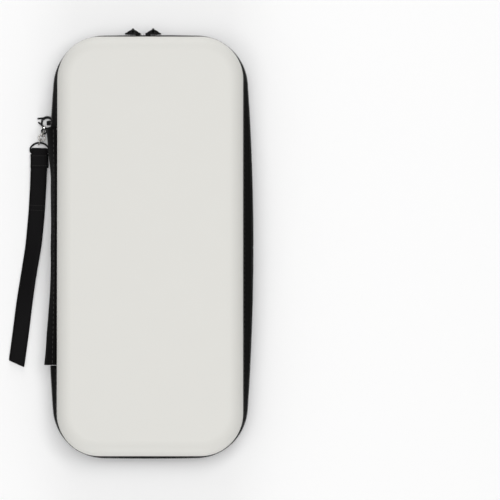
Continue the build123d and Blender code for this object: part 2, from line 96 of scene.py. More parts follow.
def linear(code: str) -> tuple[float, float, float, float]:
    """Turns an sRGB hex colour into linear RGBA.

    Args:
        code: Colour as #RRGGBB.

    Returns:
        Linear red, green, blue and an alpha of one.
    """
    parts = (int(code[i : i + 2], 16) / 255 for i in (1, 3, 5))
    red, green, blue = (c / 12.92 if c <= 0.04045 else ((c + 0.055) / 1.055) ** 2.4 for c in parts)
    return (red, green, blue, 1.0)


def add_node(tree: bpy.types.NodeTree, kind: str, inputs: dict | None = None, **settings) -> bpy.types.Node:
    """Adds a node with its settings, values and links.

    Args:
        tree: Tree that gets the node.
        kind: Type name of the node.
        inputs: Value or socket for each input, by name or number.
        **settings: Properties of the node itself.

    Returns:
        The new node.
    """
    made = tree.nodes.new(kind)
    for key, value in settings.items():
        setattr(made, key, value)
    for key, value in (inputs or {}).items():
        if isinstance(value, bpy.types.NodeSocket):
            tree.links.new(value, made.inputs[key])
        else:
            made.inputs[key].default_value = value
    return made


@dataclass(frozen=True)
class Finish:
    """How one real material meets the eye. Lengths are in metres."""

    name: str
    colour: str
    pattern: Pattern
    pitch: float
    depth: float
    roughness: float
    shade: float = 0.35
    mottle: float = 0.12
    sheen: float = 0.0
    metallic: float = 0.0
    specular: float = 0.5
    flat_mapped: bool = False

    def material(self) -> bpy.types.Material:
        """Node material of this finish, made once.

        Returns:
            The material.
        """
        found = bpy.data.materials.get(self.name)
        if found:
            return found
        made = bpy.data.materials.new(self.name)
        made.use_nodes = True
        tree = made.node_tree
        shader = tree.nodes["Principled BSDF"]
        place = add_node(tree, "ShaderNodeTexCoord").outputs["UV" if self.flat_mapped else "Object"]
        height = self._height(tree, place)
        cloudy = add_node(tree, "ShaderNodeTexNoise", {"Vector": place, "Scale": CLOUDS, "Detail": 3.0}).outputs[0]
        full = linear(self.colour)
        hollow = tuple(c * (1 - self.shade) for c in full[:3]) + (1.0,)
        toned = add_node(tree, "ShaderNodeMix", {0: height, 6: hollow, 7: full}, data_type="RGBA").outputs[2]
        patchy = add_node(
            tree, "ShaderNodeMix", {0: self.mottle, 6: toned, 7: cloudy}, data_type="RGBA", blend_type="OVERLAY"
        ).outputs[2]
        tree.links.new(patchy, shader.inputs["Base Color"])
        uneven = add_node(
            tree,
            "ShaderNodeMapRange",
            {"Value": cloudy, "To Min": self.roughness - WEAR, "To Max": min(1.0, self.roughness + WEAR)},
        ).outputs[0]
        tree.links.new(uneven, shader.inputs["Roughness"])
        relief = add_node(tree, "ShaderNodeBump", {"Height": height, "Distance": self.depth, "Strength": RELIEF})
        tree.links.new(relief.outputs[0], shader.inputs["Normal"])
        shader.inputs["Metallic"].default_value = self.metallic
        shader.inputs["Sheen Weight"].default_value = self.sheen
        shader.inputs["Sheen Roughness"].default_value = SHEEN_ROUGHNESS
        shader.inputs["Specular IOR Level"].default_value = self.specular
        return made

    def _height(self, tree: bpy.types.NodeTree, place: bpy.types.NodeSocket) -> bpy.types.NodeSocket:
        """Adds the nodes of the relief.

        Args:
            tree: Tree that gets the nodes.
            place: Coordinates in metres.

        Returns:
            Height of the relief, from 0 to 1.
        """
        turns = 2 * math.pi / self.pitch
        vectors, numbers = "ShaderNodeVectorMath", "ShaderNodeMath"
        match self.pattern:
            case Pattern.GRAIN | Pattern.CAST:
                detail = 2.0 if self.pattern is Pattern.GRAIN else 5.0
                return add_node(
                    tree, "ShaderNodeTexNoise", {"Vector": place, "Scale": 1 / self.pitch, "Detail": detail}
                ).outputs[0]
            case Pattern.KNIT:
                cells = add_node(tree, "ShaderNodeTexVoronoi", {"Vector": place, "Scale": 1 / self.pitch})
                return add_node(tree, numbers, {0: 1.0, 1: cells.outputs[0]}, operation="SUBTRACT").outputs[0]
            case Pattern.WEAVE:
                scaled = add_node(tree, vectors, {0: place, "Scale": turns}, operation="SCALE").outputs[0]
                waves = add_node(tree, vectors, {0: scaled}, operation="SINE").outputs[0]
                x, y, z = add_node(tree, "ShaderNodeSeparateXYZ", {0: waves}).outputs
                turned = add_node(tree, "ShaderNodeCombineXYZ", {0: y, 1: z, 2: x}).outputs[0]
                wave = add_node(tree, vectors, {0: waves, 1: turned}, operation="DOT_PRODUCT").outputs[1]
            case _:
                lean = (turns, turns, turns) if self.pattern is Pattern.TWILL else (0.0, turns, 0.0)
                phase = add_node(tree, vectors, {0: place, 1: lean}, operation="DOT_PRODUCT").outputs[1]
                wave = add_node(tree, numbers, {0: phase}, operation="SINE").outputs[0]
        return add_node(tree, numbers, {0: wave, 1: 0.5, 2: 0.5}, operation="MULTIPLY_ADD").outputs[0]


# Coated foam board: an even, matt skin, its fine grain only seen close up
WHITE_SKIN = Finish(
    "coated_foam_white", "#DEDDD8", Pattern.GRAIN, 0.35 * MM, 0.015 * MM, 0.55,
    shade=0.03, mottle=0.015, specular=0.3,
)
# Plain nylon cloth bonded to the board: small squares of light where threads cross
BLACK_SKIN = Finish(
    "bonded_nylon_cloth", "#19191B", Pattern.WEAVE, 0.9 * MM, 0.10 * MM, 0.58,
    shade=0.45, mottle=0.2, sheen=0.06, specular=0.25,
)
# Brushed knit: dull, with a soft glow at grazing angles
LINING = Finish(
    "brushed_knit_charcoal", "#4D4845", Pattern.KNIT, 0.9 * MM, 0.3 * MM, 0.92,
    shade=0.6, mottle=0.45, sheen=0.12, specular=0.1,
)
# The same knit as the lining, painted paler for the light that the raised rolls and ribs catch
ROLL = Finish(
    "knit_grey_painted_lit", "#5E5A56", Pattern.KNIT, 0.50 * MM, 0.10 * MM, 0.85,
    shade=0.35, mottle=0.25, sheen=0.15, specular=0.12,
)
# Zip tape: diagonal threads, a little lustre
TAPE = Finish(
    "twill_tape_black", "#0F0F0E", Pattern.TWILL, 0.8 * MM, 0.08 * MM, 0.7,
    shade=0.45, mottle=0.15, specular=0.04,
)
# Polyester coil: smooth drawn filament with small bright glints
COIL = Finish(
    "drawn_polyester_black", "#0B0B0C", Pattern.CAST, 0.7 * MM, 0.01 * MM, 0.33,
    shade=0.2, mottle=0.1, specular=0.28,
)
# Ribbed elastic: thick and thin cords side by side
ELASTIC = Finish(
    "ribbed_elastic_grey", "#5A5552", Pattern.RIB, 0.9 * MM, 0.10 * MM, 0.8,
    shade=0.45, mottle=0.2, sheen=0.1, specular=0.12, flat_mapped=True,
)
# Darker elastic of the card pockets
POCKET = Finish(
    "ribbed_elastic_black", "#403B38", Pattern.RIB, 0.8 * MM, 0.10 * MM, 0.75,
    shade=0.5, mottle=0.2, sheen=0.08, specular=0.15, flat_mapped=True,
)
# Knitted net: dull round threads
NET = Finish(
    "knitted_net_thread", "#5A5551", Pattern.KNIT, 0.30 * MM, 0.05 * MM, 0.8,
    mottle=0.2, sheen=0.1, specular=0.12,
)
# Bias binding: a fine weave
BINDING = Finish(
    "bias_binding_weave", "#4E4945", Pattern.WEAVE, 0.7 * MM, 0.08 * MM, 0.85,
    shade=0.4, mottle=0.25, sheen=0.1, specular=0.1,
)
# Piping at the flap's edge: worn pale where it is handled
PIPING = Finish(
    "worn_piping_cloth", "#857F79", Pattern.WEAVE, 0.6 * MM, 0.05 * MM, 0.75,
    shade=0.3, mottle=0.3, sheen=0.1, specular=0.15,
)
# Sewing thread: twisted, a small highlight along each stitch
THREAD = Finish(
    "twisted_thread_black", "#282726", Pattern.TWILL, 0.35 * MM, 0.04 * MM, 0.5,
    shade=0.4, mottle=0.1, specular=0.25,
)
PALE_THREAD = Finish(
    "twisted_thread_grey", "#6E6863", Pattern.TWILL, 0.35 * MM, 0.04 * MM, 0.6,
    shade=0.4, mottle=0.1, specular=0.2,
)
# Nylon webbing: raised squares across the width
WEBBING = Finish(
    "nylon_webbing_black", "#121112", Pattern.WEAVE, 1.6 * MM, 0.16 * MM, 0.6,
    shade=0.5, mottle=0.15, specular=0.07, flat_mapped=True,
)
# Enamelled zinc casting: a deep black with soft, dim highlights
ENAMEL = Finish(
    "enamelled_zinc_black", "#0C0C0D", Pattern.CAST, 2.5 * MM, 0.02 * MM, 0.42,
    shade=0.25, mottle=0.15, specular=0.05,
)
# Nickel-plated wire: bright, with faint drawing marks
NICKEL = Finish(
    "plated_wire_nickel", "#B4B1AC", Pattern.CAST, 0.6 * MM, 0.01 * MM, 0.28,
    shade=0.2, mottle=0.1, metallic=1.0,
)


def even(points: np.ndarray, step: float, closed: bool) -> np.ndarray:
    """Divides a line into even steps.

    Args:
        points: Corners of the line.
        step: Wanted spacing.
        closed: Whether the line returns to its start.

    Returns:
        Points at an even spacing along it.
    """
    line = np.vstack([points, points[:1]]) if closed else points
    run = np.concatenate([[0.0], np.cumsum(np.linalg.norm(np.diff(line, axis=0), axis=1))])
    count = max(3, round(run[-1] / step))
    at = np.linspace(0, run[-1], count, endpoint=False) if closed else np.linspace(0, run[-1], count + 1)
    return np.column_stack([np.interp(at, run, line[:, i]) for i in range(line.shape[1])])


def unit(vectors: np.ndarray) -> np.ndarray:
    """Returns vectors of length one."""
    return vectors / np.maximum(np.linalg.norm(vectors, axis=-1, keepdims=True), 1e-12)


def tangents(points: np.ndarray, closed: bool) -> np.ndarray:
    """Direction of a line at each of its points.

    Args:
        points: Points of the line.
        closed: Whether it returns to its start.

    Returns:
        A vector of length one for each point.
    """
    if closed:
        return unit(np.roll(points, -1, axis=0) - np.roll(points, 1, axis=0))
    return unit(np.gradient(points, axis=0))


def outward(points: np.ndarray, closed: bool = True) -> np.ndarray:
    """Returns the outward direction at each point of a level line that runs counter-clockwise."""
    along = tangents(points, closed)
    return np.column_stack([along[:, 1], -along[:, 0]])


def rounded(
    length: float, width: float, radii: tuple[float, float, float, float], middle: float = 0.0
) -> np.ndarray:
    """Outline of a rectangle with round corners, counter-clockwise.

    Args:
        length: Size along X.
        width: Size along Y.
        radii: Corner radii, from the right rear one round to the right front one.
        middle: Y of its middle.

    Returns:
        Its points, level.
    """
    signs = ((1, 1), (-1, 1), (-1, -1), (1, -1))
    parts = []
    for quarter, ((sx, sy), radius) in enumerate(zip(signs, radii)):
        turn = np.radians(90 * quarter + np.linspace(0, 90, ARC))
        corner = np.array((sx * (length / 2 - radius), middle + sy * (width / 2 - radius)))
        parts.append(corner + radius * np.column_stack([np.cos(turn), np.sin(turn)]))
    return np.vstack(parts)


def at_level(points: np.ndarray, level: float) -> np.ndarray:
    """Returns level points as points in space."""
    return np.column_stack([points, np.full(len(points), level)])


def ripple(places: np.ndarray, size: float, seed: float) -> np.ndarray:
    """Smooth unevenness of cloth.

    Args:
        places: Points in space.
        size: Width of its waves.
        seed: Shift that makes one pattern differ from another.

    Returns:
        A value from about -1 to 1 for each point.
    """
    flat = places.reshape(-1, 3) / size + seed
    return np.array([noise.noise(Vector(p)) for p in flat]).reshape(places.shape[:-1])


def bowed(values: np.ndarray, power: float) -> np.ndarray:
    """Returns values raised to a power with their signs kept, which squares off a round section."""
    return np.sign(values) * np.abs(values) ** power


def ring_faces(rings: int, spots: int) -> list[list[int]]:
    """Faces between rings of points, with a cap at each end.

    Args:
        rings: Number of rings.
        spots: Points in each ring.

    Returns:
        Point numbers of each face.
    """
    faces = []
    last = (rings - 1) * spots
    for start in range(0, last, spots):
        for spot in range(spots):
            after = (spot + 1) % spots
            faces.append([start + spot, start + after, start + spots + after, start + spots + spot])
    return faces + [list(range(spots)), list(range(last, last + spots))]


class Shape:
    """Points and faces of one piece, gathered before it becomes an object."""

    def __init__(self) -> None:
        """Starts empty."""
        self.points: list[np.ndarray] = []
        self.flats: list[np.ndarray] = []
        self.faces: list[list[int]] = []
        self.count = 0

    def add(self, points: np.ndarray, faces: np.ndarray | list, flat: np.ndarray | None = None) -> None:
        """Adds points with their faces.

        Args:
            points: Points in space.
            faces: Numbers of each face's points, counted from the first of these.
            flat: Flat coordinates of the points, where the pattern needs them.
        """
        shifted = np.asarray(faces) + self.count
        self.faces.extend(shifted.tolist())
        self.points.append(points)
        self.flats.append(np.zeros((len(points), 2)) if flat is None else flat)
        self.count += len(points)

    def tube(self, rings: np.ndarray, closed: bool, flat: np.ndarray | None = None) -> Self:
        """Skins rings of points.

        Args:
            rings: Array of rings, points in a ring and coordinates.
            closed: Whether the last ring meets the first; otherwise both ends are capped.
            flat: Flat coordinates of the same points.

        Returns:
            This shape.
        """
        n, m, _ = rings.shape
        ring, spot = np.meshgrid(np.arange(n if closed else n - 1), np.arange(m), indexing="ij")
        after, beside = (ring + 1) % n, (spot + 1) % m
        quads = np.stack([ring * m + spot, ring * m + beside, after * m + beside, after * m + spot], axis=-1)
        start = self.count
        self.add(rings.reshape(-1, 3), quads.reshape(-1, 4), None if flat is None else flat.reshape(-1, 2))
        if not closed:
            self.faces.append(list(range(start, start + m)))
            self.faces.append(list(range(start + (n - 1) * m, start + n * m)))
        return self

    def slab(self, top: np.ndarray, thickness: float, flat: np.ndarray) -> Self:
        """Closed sheet under a grid of points.

        Args:
            top: Grid of points of its upper face.
            thickness: Thickness, measured square to that face.
            flat: Flat coordinates of the grid.

        Returns:
            This shape.
        """
        normal = unit(np.cross(np.gradient(top, axis=0), np.gradient(top, axis=1)))
        bottom = top - normal * thickness
        rings = np.concatenate([top, bottom[:, ::-1]], axis=1)
        return self.tube(rings, False, np.concatenate([flat, flat[:, ::-1]], axis=1))

    def stamp(self, form: tuple[np.ndarray, list], origins: np.ndarray, axes: np.ndarray) -> None:
        """Repeats a small form.

        Args:
            form: Its points and faces.
            origins: Place of each copy.
            axes: Three axes of each copy, as rows.
        """
        points, faces = form
        for origin, axis in zip(origins, axes):
            start = self.count
            self.points.append(origin + points @ axis)
            self.flats.append(points[:, :2])
            self.faces.extend([start + i for i in face] for face in faces)
            self.count += len(points)

    def piece(
        self, name: str, finish: Finish, slot: str, body: str | None, replaces: tuple[str, ...] = ()
    ) -> bpy.types.Object:
        """Makes the object.

        Args:
            name: Name of the piece.
            finish: Its material.
            slot: Material slot of the part that it belongs to.
            body: Body that it rides on, or None where it rides on no body.
            replaces: CAD nodes that it stands for.

        Returns:
            The new object.
        """
        mesh = bpy.data.meshes.new(name)
        mesh.from_pydata(np.vstack(self.points).tolist(), [], self.faces)
        build = bmesh.new()
        build.from_mesh(mesh)
        bmesh.ops.recalc_face_normals(build, faces=build.faces)
        build.to_mesh(mesh)
        build.free()
        flats = np.vstack(self.flats)
        layer = mesh.uv_layers.new(name="flat")
        corners = np.zeros(len(mesh.loops), dtype=np.int64)
        mesh.loops.foreach_get("vertex_index", corners)
        layer.data.foreach_set("uv", flats[corners].astype(np.float32).ravel())
        mesh.polygons.foreach_set("use_smooth", [True] * len(mesh.polygons))
        mesh.set_sharp_from_angle(angle=CREASE)
        mesh.materials.append(finish.material())
        return place(bpy.data.objects.new(name, mesh), slot, body, replaces)


def place(made: bpy.types.Object, slot: str, body: str | None, replaces: tuple[str, ...] = ()) -> bpy.types.Object:
    """Puts an object into the scene, on its body and in the place of CAD nodes, and reports it.

    Args:
        made: The object.
        slot: Material slot of the part that it belongs to; not used.
        body: Body that it rides on, or None where it rides on no body.
        replaces: CAD nodes that it stands for.

    Returns:
        The same object.
    """
    bpy.context.scene.collection.objects.link(made)
    if body:
        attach(made, body)
    if replaces:
        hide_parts(*replaces)
    LOG.info("%s made", made.name)
    return made


@dataclass(frozen=True)
class Stitch:
    """One kind of stitch. Lengths are in metres."""

    length: float  # the part that shows
    radius: float  # half the thread's thickness
    step: float = 0.0  # from one stitch to the next, where the seam has a pitch of its own

    def form(self) -> tuple[np.ndarray, list]:
        """One stitch along X, its ends sunk into the cloth below.

        Returns:
            Its points and faces.
        """
        runs = np.array((-0.5, -0.32, 0.0, 0.32, 0.5)) * self.length
        sizes = np.array((0.35, 0.85, 1.0, 0.85, 0.35)) * self.radius
        lifts = np.array((-0.9, 0.15, 0.5, 0.15, -0.9)) * self.radius
        turn = np.radians(np.arange(0, 360, 60))
        points = np.array(
            [(x, r * math.cos(a), h + r * math.sin(a)) for x, r, h in zip(runs, sizes, lifts) for a in turn]
        )
        return points, ring_faces(len(runs), len(turn))

    def lay(self, shape: Shape, spots: np.ndarray, along: np.ndarray, up: np.ndarray) -> None:
        """Adds stitches that are placed one by one.

        Args:
            shape: Piece that gets them.
            spots: Place of each stitch.
            along: Direction of each stitch.
            up: Direction out of the cloth, one for all or one for each.
        """
        facing = np.broadcast_to(up, along.shape)
        shape.stamp(self.form(), spots, np.stack([along, np.cross(facing, along), facing], axis=1))

    def sew(self, shape: Shape, line: np.ndarray, facing: np.ndarray, closed: bool = False) -> Shape:
        """Adds a row of stitches that follow a line.

        Args:
            shape: Piece that gets them.
            line: Place of each stitch.
            facing: Direction out of the cloth, one for all or one for each.
            closed: Whether the row returns to its start.

        Returns:
            The same shape.
        """
        along = tangents(line, closed)
        side = unit(np.cross(facing, along))
        shape.stamp(self.form(), line, np.stack([along, side, np.cross(along, side)], axis=1))
        return shape


def dress(finish: Finish, *nodes: str) -> None:
    """Gives CAD nodes a material and reports them.

    Args:
        finish: The material.
        *nodes: Names of the nodes.
    """
    for name in nodes:
        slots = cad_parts[name].data.materials
        slots.clear()
        slots.append(finish.material())
        LOG.info("%s dressed", name)


def shoelace(outline: np.ndarray) -> float:
    """Returns the area inside a level outline, positive where it runs counter-clockwise."""
    after = np.roll(outline, -1, axis=0)
    return float(np.sum(outline[:, 0] * after[:, 1] - after[:, 0] * outline[:, 1])) / 2


def spots_of(mesh: bpy.types.Mesh) -> np.ndarray:
    """Points of a mesh.

    Args:
        mesh: The mesh.

    Returns:
        One row for each point.
    """
    flat = np.zeros(3 * len(mesh.vertices))
    mesh.vertices.foreach_get("co", flat)
    return flat.reshape(-1, 3)


def node_points(node: str) -> np.ndarray:
    """Returns the points of a CAD node."""
    return spots_of(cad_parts[node].data)


def plan_outline(node: str, step: float) -> np.ndarray:
    """Outline of a CAD node seen from above.

    Args:
        node: Name of the node, whose plan bows outward all round.
        step: Spacing of the points.

    Returns:
        Level points, counter-clockwise.
    """
    flat = node_points(node)[:, :2]
    hull = flat[geometry.convex_hull_2d([Vector(p) for p in flat])]
    return even(hull if shoelace(hull) > 0 else hull[::-1], step, True)


class Facing:
    """Outside of a CAD node, found by looking at it along a direction."""

    def __init__(self, node: str) -> None:
        """Reads the node's mesh.

        Args:
            node: Name of the CAD node.
        """
        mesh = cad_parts[node].data
        self.tree = BVHTree.FromPolygons([v.co for v in mesh.vertices], [p.vertices for p in mesh.polygons])

    def hits(self, starts: np.ndarray, directions: np.ndarray) -> tuple[np.ndarray, np.ndarray]:
        """Finds where rays meet the node.

        Args:
            starts: Start of each ray.
            directions: Direction of each ray.

        Returns:
            The points that were met and the outward directions there.
        """
        found = [self.tree.ray_cast(Vector(s), Vector(d)) for s, d in zip(starts, directions)]
        met = [(hit[0], hit[1], d) for hit, d in zip(found, directions) if hit[0]]
        normals = [n if n.dot(Vector(d)) < 0 else -n for _, n, d in met]
        return np.array([p for p, _, _ in met]), np.array(normals)


@dataclass(frozen=True)
class Padding:
    """How a padded piece is blown up as cloth. Lengths are in metres."""

    voxel: float
    cap: float  # the furthest that a point may move
    pressure: float = 4.0
    frames: int = 20
    enlarged: float = 20.0  # the cloth is worked out at this many times its size

    def swell(self, mesh: bpy.types.Mesh, held: Callable[[np.ndarray], np.ndarray]) -> bpy.types.Mesh:
        """Turns a closed shape into a softly swollen one.

        Args:
            mesh: Shape that it starts from, a little smaller than the piece.
            held: Tells which points are sewn down or rest on something.

        Returns:
            The swollen mesh.
        """
        made = bpy.data.objects.new("swelling", mesh)
        bpy.context.scene.collection.objects.link(made)
        mesh.transform(Matrix.Scale(self.enlarged, 4))
        grain = made.modifiers.new("grain", "REMESH")
        grain.mode = "VOXEL"
        grain.voxel_size = self.voxel * self.enlarged
        soften = made.modifiers.new("soften", "SMOOTH")
        soften.factor = 0.5
        soften.iterations = 5
        self._apply(made)
        start = spots_of(made.data)
        sewn = made.vertex_groups.new(name="sewn")
        sewn.add(np.flatnonzero(held(start / self.enlarged)).tolist(), 1.0, "REPLACE")
        cloth = made.modifiers.new("cloth", "CLOTH")
        cloth.settings.vertex_group_mass = "sewn"
        cloth.settings.use_pressure = True
        cloth.settings.uniform_pressure_force = self.pressure
        cloth.settings.effector_weights.gravity = 0.0
        cloth.collision_settings.use_collision = False
        for number in range(1, self.frames + 1):
            bpy.context.scene.frame_set(number)
        self._apply(made)
        bpy.context.scene.frame_set(1)
        moved = spots_of(made.data) - start
        far = np.maximum(np.linalg.norm(moved, axis=1, keepdims=True) / (self.cap * self.enlarged), 1.0)
        start += moved / far
        swollen = made.data
        swollen.vertices.foreach_set("co", (start / self.enlarged).ravel())
        swollen.polygons.foreach_set("use_smooth", [True] * len(swollen.polygons))
        bpy.data.objects.remove(made)
        return swollen

    def _apply(self, made: bpy.types.Object) -> None:
        """Turns what an object's modifiers give into its mesh.

        Args:
            made: The object, whose modifiers are used up.
        """
        shaped = bpy.data.meshes.new_from_object(made.evaluated_get(bpy.context.evaluated_depsgraph_get()))
        made.modifiers.clear()
        made.data = shaped


@dataclass
class Studio:
    """Floor, light and camera. Lengths are in metres."""

    floor_size: float = 8.0
    camera_at: tuple[float, float, float] = (-0.066, -0.061, 2.037)
    camera_lean: float = 1.82  # degrees off straight down
    focal: float = 236.0
    sky: float = 0.2
    floor_gap: float = 0.2 * MM  # keeps the floor clear of the underside
    lamp_size: float = 1.0

    def build(self) -> None:
        """Makes the whole studio."""
        self._floor()
        self._light()
        self._camera()
        bpy.context.scene.view_settings.view_transform = "Standard"

    def _floor(self) -> None:
        """Adds the pale floor."""
        half = self.floor_size / 2
        mesh = bpy.data.meshes.new("floor")
        corners = [(-half, -half, 0), (half, -half, 0), (half, half, 0), (-half, half, 0)]
        mesh.from_pydata(corners, [], [(0, 1, 2, 3)])
        paper = bpy.data.materials.new("studio_paper")
        paper.use_nodes = True
        shader = paper.node_tree.nodes["Principled BSDF"]
        shader.inputs["Base Color"].default_value = linear("#FDFDFD")
        shader.inputs["Roughness"].default_value = 0.9
        shader.inputs["Specular IOR Level"].default_value = 0.1
        mesh.materials.append(paper)
        floor = bpy.data.objects.new("floor", mesh)
        floor.location.z = -self.floor_gap
        bpy.context.scene.collection.objects.link(floor)

    def _light(self) -> None:
        """Adds an even sky, two soft lamps overhead and a low one past each end."""
        world = bpy.data.worlds.new("studio")
        world.use_nodes = True
        sky = world.node_tree.nodes["Background"].inputs
        sky["Color"].default_value = (1.0, 1.0, 1.0, 1.0)
        sky["Strength"].default_value = self.sky
        bpy.context.scene.world = world
        for name, spot, power in (
            ("key", Vector((0.2, -0.28, 2.4)), 26.0),
            ("fill", Vector((-0.16, 0.3, 2.4)), 12.6),
            ("zip_end", Vector((2.0, 0.0, 0.7)), 12.5),
            ("far_end", Vector((-2.0, 0.0, 0.7)), 12.5),
        ):
            lamp = bpy.data.lights.new(name, "AREA")
            lamp.size = self.lamp_size
            lamp.energy = power
            made = bpy.data.objects.new(name, lamp)
            made.location = spot
            made.rotation_euler = (-spot).to_track_quat("-Z", "Y").to_euler()
            bpy.context.scene.collection.objects.link(made)

    def _camera(self) -> None:
        """Adds the camera, looking almost straight down with the zip's end at the top."""
        lens = bpy.data.cameras.new("camera")
        lens.sensor_width = 36.0
        lens.lens = self.focal
        made = bpy.data.objects.new("camera", lens)
        made.location = self.camera_at
        made.rotation_euler = (math.radians(self.camera_lean), 0.0, -math.pi / 2)
        bpy.context.scene.collection.objects.link(made)
        bpy.context.scene.camera = made


@dataclass
class Shells:
    """The two moulded halves with their linings."""

    def build(self) -> None:
        """Gives each half its skin and lining."""
        dress(WHITE_SKIN, "lid_shell")
        dress(BLACK_SKIN, "base_shell")
        dress(LINING, "lid_lining", "base_lining")


@dataclass
class RimRolls:
    """Padded rolls that cap the rims. Lengths are in metres."""

    corner: float = 25.3 * MM
    roll_width: float = 5.25 * MM
    step: float = 1.2 * MM
    pucker: float = 0.07  # share of the height that the cover is drawn in
    pucker_width: float = 3.2 * MM
    seam_level: float = 0.72  # share of the height
    thread: Stitch = Stitch(2.3 * MM, 0.22 * MM, 3.0 * MM)

    def build(self) -> None:
        """Makes both rolls and their seams."""
        for half in Half:
            self._roll(half)

    def _roll(self, half: Half) -> None:
        """Makes the roll of one half.

        Args:
            half: The half that it caps.
        """
        node = f"{half.body}_rim_roll"
        low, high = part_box(node)
        foot, rise = (low.z, 1) if half is Half.BASE else (high.z, -1)
        height = high.z - low.z
        inset = self.roll_width
        middle = rounded(high.x - low.x - inset, high.y - low.y - inset, (self.corner - inset / 2,) * 4)
        line = even(middle, self.step, True)
        out = at_level(outward(line), 0.0)
        centre = at_level(line, foot)
        turn = np.radians(np.arange(0, 360, 15))
        side = 0.49 * self.roll_width * bowed(np.cos(turn), 0.75)
        lift = height * (0.5 + 0.495 * bowed(np.sin(turn), 0.8))
        drawn = 1 - self.pucker * np.clip(ripple(centre, self.pucker_width, 4.0 + rise) + 0.25, 0, 1)
        lifts = lift[None, :] * np.where(lift > 0.4 * height, drawn[:, None], 1.0)
        rings = centre[:, None] + out[:, None] * side[None, :, None] + rise * UP * lifts[..., None]
        # Its cover is the knit painted paler for the light on the raised roll
        roll = Shape().tube(rings, True).piece(
            f"{half.body}_roll_padded", ROLL, "rim_padding", half.body, (node,)
        )
        sewn = even(line, self.thread.step, True)
        normal = at_level(-outward(sewn), 0.0)
        facing = unit(0.8 * normal + 0.6 * rise * UP)
        row = at_level(sewn, foot + rise * self.seam_level * height) + normal * 0.42 * self.roll_width
        self.thread.sew(Shape(), row, facing, True).piece(
            f"{half.body}_roll_stitches", THREAD, "rim_padding", half.body
        )


@dataclass
class Zip:
    """Tapes, coil teeth, seams, sliders and pulls. Lengths are in metres."""

    pitch: float = 1.35 * MM
    tooth_width: float = 0.62 * MM
    tooth_depth: float = 1.24 * MM
    tooth_foot: float = 2.5 * MM  # parting plane to the tape
    tooth_reach: float = 0.3 * MM  # how far a head passes the parting plane
    slider_gap: float = 0.42 * MM  # where the sliders run, heads stop short of it
    spine_half: float = 73 * MM
    run_from: float = -31 * MM
    run_to: float = 30 * MM
    run_past: float = 120 * MM  # X beyond which the sliders' end lies
    shell_seam: Stitch = Stitch(2.3 * MM, 0.2 * MM, 3.0 * MM)
    shell_seam_level: float = 8.1 * MM  # from the parting plane
    coil_seam: Stitch = Stitch(1.5 * MM, 0.2 * MM, 2.0 * MM)
    coil_seam_level: float = 3.5 * MM
    beyond: float = 6 * MM  # where the search for the tape's outside starts

    def build(self) -> None:
        """Makes both rows of teeth and the seams, and dresses the rest."""
        dress(TAPE, "lid_zip_tape", "base_zip_tape")
        dress(ENAMEL, "rear_slider", "front_slider", "rear_pull", "front_pull")
        for half in Half:
            self._teeth(half)
            self._seams(half)

    def _tooth(self, head: float) -> tuple[np.ndarray, list]:
        """One turn of the coil, from its foot at the tape to its head.

        Args:
            head: Height of the head above the parting plane, seen from the other half.

        Returns:
            Its points and faces.
        """
        reach = self.tooth_foot + head
        levels = np.array((0.0, 0.12, 0.62, 0.82, 0.95, 1.0)) * reach
        widths = np.array((0.8, 1.0, 0.9, 1.05, 0.9, 0.5)) * self.tooth_width / 2
        depths = np.array((0.85, 1.0, 1.0, 0.95, 0.75, 0.4)) * self.tooth_depth / 2
        turn = np.radians(np.arange(22.5, 382.5, 45))
        section = np.column_stack([np.cos(turn), np.sin(turn)]) / math.cos(math.radians(22.5))
        points = np.array(
            [(w * a, d * b, h - self.tooth_foot) for h, w, d in zip(levels, widths, depths) for a, b in section]
        )
        return points, ring_faces(len(levels), len(turn))

    def _off_spine(self, line: np.ndarray, spare: float) -> np.ndarray:
        """Tells which points of a line round the case are clear of the hinge spine."""
        return (line[:, 1] < 0) | (np.abs(line[:, 0]) > self.spine_half + spare)

    def _teeth(self, half: Half) -> None:
        """Makes one row of teeth, half a pitch away from the other row.

        Args:
            half: The half that carries it.
        """
        node = f"{half.body}_zip_coil"
        fine = plan_outline(node, self.pitch / 2)
        fine = fine[: len(fine) // 2 * 2]
        first = 0 if half is Half.BASE else 1
        out = outward(fine)[first::2]
        line = fine[first::2]
        keep = self._off_spine(line, 0.5 * MM)
        line, out = line[keep], out[keep]
        running = (line[:, 0] > self.run_past) & (line[:, 1] > self.run_from) & (line[:, 1] < self.run_to)
        centre = at_level(line - out * (self.tooth_depth / 2 + 0.03 * MM), PARTING)
        normal = at_level(out, 0.0)
        rise = np.tile(-half.value * UP, (len(line), 1))
        axes = np.stack([np.cross(normal, rise), normal, rise], axis=1)
        shape = Shape()
        shape.stamp(self._tooth(self.tooth_reach), centre[~running], axes[~running])
        shape.stamp(self._tooth(-self.slider_gap), centre[running], axes[running])
        shape.piece(f"{half.body}_coil_teeth", COIL, "zip_coil", half.body, (node,))

    def _seams(self, half: Half) -> None:
        """Sews one tape to its shell and its coil to the tape.

        Args:
            half: The half that carries it.
        """
        cloth = Facing(f"{half.body}_zip_tape")
        shape = Shape()
        for thread, above in ((self.shell_seam, self.shell_seam_level), (self.coil_seam, self.coil_seam_level)):
            line = plan_outline(f"{half.body}_zip_coil", thread.step)
            out = outward(line)
            keep = self._off_spine(line, 1.0 * MM)
            starts = at_level(line + out * self.beyond, PARTING + half.value * above)[keep]
            spots, normals = cloth.hits(starts, at_level(-out, 0.0)[keep])
            thread.lay(shape, spots, unit(np.cross(UP, normals)), normals)
        shape.piece(f"{half.body}_tape_stitches", THREAD, "zip_tape", half.body)


